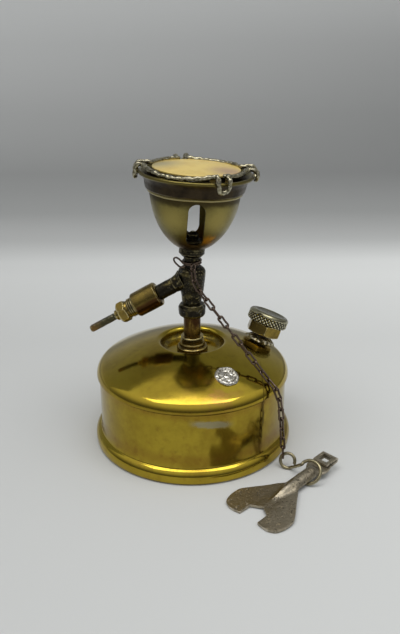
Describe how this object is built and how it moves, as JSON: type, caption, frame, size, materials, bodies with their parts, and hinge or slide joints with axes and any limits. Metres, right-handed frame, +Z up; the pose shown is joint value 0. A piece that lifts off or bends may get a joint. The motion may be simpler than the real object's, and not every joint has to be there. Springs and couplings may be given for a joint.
{
  "type": "gasoline camping stove",
  "caption": "Small brass petrol camping stove: a drum tank with filler cap, a riser with a side valve, an open cup burner, and a flat spanner on a chain",
  "frame": {"origin": "centre of the ring face under the tank's foot, on the ground, on the tank's axis", "axes": "+Z is up along the tank's axis; the side valve points to -X and down; the spanner lies at the front right, towards +X and -Y"},
  "size_m": [0.1147, 0.1284, 0.1353],
  "materials": {
    "tank_brass": "polished spun brass sheet, worn, with a dull green-gold tarnish and small dents",
    "bottom_brass": "dull brass sheet, scratched",
    "solder": "lumpy grey solder",
    "fitting_brass": "turned brass, worn bright on its edges",
    "riser_brass": "brown-gold heat-tinted brass tube",
    "black_brass": "blackened brass with grey-white corrosion",
    "cup_brass": "olive-gold spun brass with orange and brown heat marks",
    "burnt_brass": "burnt dark brown brass, olive on the rim",
    "plate_brass": "smooth golden brass",
    "burnt_wire": "thick corroded wire, brown-black",
    "cap_metal": "pewter-grey tarnished brass with fine milling",
    "gasket": "dark fibre washer",
    "packing": "graphited cord packing",
    "wick": "woven cotton wick, fuel-stained",
    "spindle_steel": "brown steel rod, orange-brown at its end",
    "chain_bronze": "brown bronze wire links",
    "hook_brass": "olive brass wire",
    "spanner_steel": "dull grey-brown pressed sheet, speckled"
  },
  "bodies": {
    "stove": {"tank_wall": "tank_brass", "tank_bottom": "bottom_brass", "tank_cover": "tank_brass", "fusible_plug": "solder", "filler_boss": "fitting_brass", "filler_solder": "solder", "riser_socket": "fitting_brass", "riser_tube": "riser_brass", "union_ring": "fitting_brass", "wick": "wick", "valve_body": "black_brass", "branch_tube": "riser_brass", "packing_housing": "fitting_brass", "packing": "packing", "gland_nut": "fitting_brass", "burner_collar": "black_brass", "jet_holder": "fitting_brass", "jet_nipple": "fitting_brass", "burner_cup": "cup_brass", "burner_band": "burnt_brass", "flame_plate": "plate_brass", "retaining_wire": "burnt_wire"},
    "cap_washer": {"filler_gasket": "gasket"},
    "filler_cap": {"filler_screw": "cap_metal", "cap_head": "cap_metal"},
    "spindle": {"valve_spindle": "spindle_steel"},
    "neck_loop": {"neck_wire": "burnt_wire"},
    "upper_run": {"chain_upper": "chain_bronze"},
    "lower_run": {"chain_lower": "chain_bronze"},
    "hook": {"s_hook": "hook_brass"},
    "key": {"spanner": "spanner_steel"}
  },
  "joints": [
    {"name": "cap_lift", "type": "slide", "parent": "stove", "child": "cap_washer", "axis": [0.3584, 0.1748, 0.9171], "range_m": [0, 0.005]},
    {"name": "cap_turn", "type": "hinge", "parent": "cap_washer", "child": "filler_cap", "pos_m": [0.03467, 0.01691, 0.0439], "axis": [0.3584, 0.1748, 0.9171], "range_deg": [0, 1800]},
    {"name": "spindle_turn", "type": "hinge", "parent": "stove", "child": "spindle", "pos_m": [-0.03017, 0, 0.06523], "axis": [-0.8746, 0, -0.4848], "range_deg": [0, 540]},
    {"name": "neck_loop_turn", "type": "hinge", "parent": "stove", "child": "neck_loop", "pos_m": [0, 0, 0.0891], "axis": [0, 0, 1], "range_deg": [-12, 12]},
    {"name": "chain_lift", "type": "hinge", "parent": "neck_loop", "child": "upper_run", "pos_m": [0.0005, -0.0069, 0.0865], "axis": [-0.5822, -0.8131, 0], "range_deg": [0, 30]},
    {"name": "lower_chain_swing", "type": "hinge", "parent": "upper_run", "child": "lower_run", "pos_m": [0.03429, -0.02737, 0.04086], "axis": [-0.5822, -0.8131, 0], "range_deg": [0, 60]},
    {"name": "hook_swing", "type": "hinge", "parent": "lower_run", "child": "hook", "pos_m": [0.04141, -0.0327, 0.0043], "axis": [-0.0272, -0.9996, 0.0107], "range_deg": [0, 30]},
    {"name": "spanner_swing", "type": "hinge", "parent": "hook", "child": "key", "pos_m": [0.0515, -0.0447, 0.0045], "axis": [0, 0, 1], "range_deg": [-12, 6]}
  ],
  "couplings": [
    {"joint": "cap_turn", "follows": "cap_lift", "rad_per_m": 6283.2}
  ]
}
